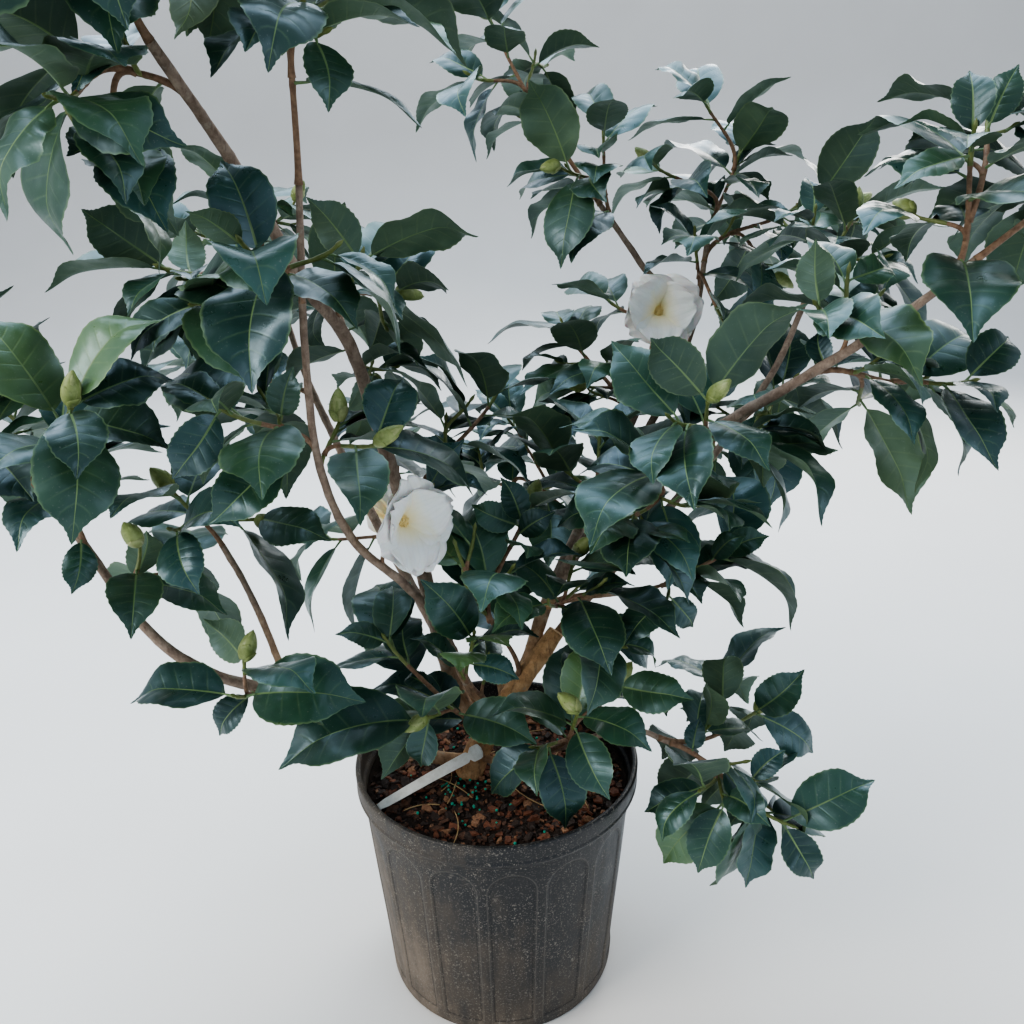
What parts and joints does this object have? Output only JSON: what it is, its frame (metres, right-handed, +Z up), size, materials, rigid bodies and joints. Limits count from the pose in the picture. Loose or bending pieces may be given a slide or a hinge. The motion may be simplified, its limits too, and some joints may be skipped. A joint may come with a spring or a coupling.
{
  "type": "potted camellia shrub",
  "caption": "Open camellia shrub with a forked trunk, leafy boughs, buds and white flowers, standing in a round black nursery pot.",
  "frame": {"origin": "middle of the pot's flat underside", "axes": "+Z up, -Y towards the shrub's front, +X to the right seen from the front"},
  "size_m": [1.0098, 0.7588, 1.0199],
  "materials": {
    "pot": "smooth black moulded plastic, dusty",
    "soil": "moist pine bark chips and peat",
    "plant_tag": "blank white plastic strip",
    "trunk": "smooth tan bark with a pale pruning cut",
    "bark": "grey-brown bark, reddish on young wood",
    "foliage": "glossy dark green leaves, matte paler undersides"
  },
  "bodies": {
    "root": {"pot": "pot", "soil": "soil", "plant_tag": "plant_tag", "trunk": "trunk", "bough_low_left": "bark", "bough_left_inner": "bark", "bough_upright": "bark", "bough_slender": "bark", "bough_right": "bark", "bough_low_right": "bark", "bough_centre": "bark", "bough_back_centre": "bark", "bough_back_right": "bark", "bough_right_rear": "bark", "bough_back_left": "bark", "bough_back": "bark", "leaves_far_left": "foliage", "leaves_left_rosette": "foliage", "leaves_low_left": "foliage", "leaves_low_left_under": "foliage", "leaves_left_inner": "foliage", "leaves_upright_inner": "foliage", "leaves_upright_left": "foliage", "leaves_upright_rear": "foliage", "leaves_top_left": "foliage", "leaves_top": "foliage", "leaves_slender_side": "foliage", "leaves_slender_low": "foliage", "leaves_slender_mid": "foliage", "leaves_slender_top": "foliage", "leaves_flower_left": "foliage", "leaves_centre_left": "foliage", "leaves_centre": "foliage", "leaves_centre_right": "foliage", "leaves_centre_back": "foliage", "leaves_inner_rear": "foliage", "leaves_front": "foliage", "leaves_front_centre": "foliage", "leaves_front_right": "foliage", "leaves_low_right": "foliage", "leaves_low_right_upper": "foliage", "leaves_right_low": "foliage", "leaves_right_inner": "foliage", "leaves_right_upper": "foliage", "leaves_right_mid": "foliage", "leaves_right_tip": "foliage", "leaves_right_top": "foliage", "leaves_right_rear_tip": "foliage", "leaves_right_rear": "foliage", "leaves_back_top": "foliage", "leaves_back_upper": "foliage", "leaves_flower_right": "foliage", "leaves_back_mid": "foliage", "leaves_back_right_top": "foliage", "leaves_back_right_outer": "foliage", "leaves_back_right_inner": "foliage", "leaves_back_left_tip": "foliage", "leaves_back_left_outer": "foliage", "leaves_back_left_low": "foliage", "leaves_back": "foliage"}
  },
  "joints": []
}
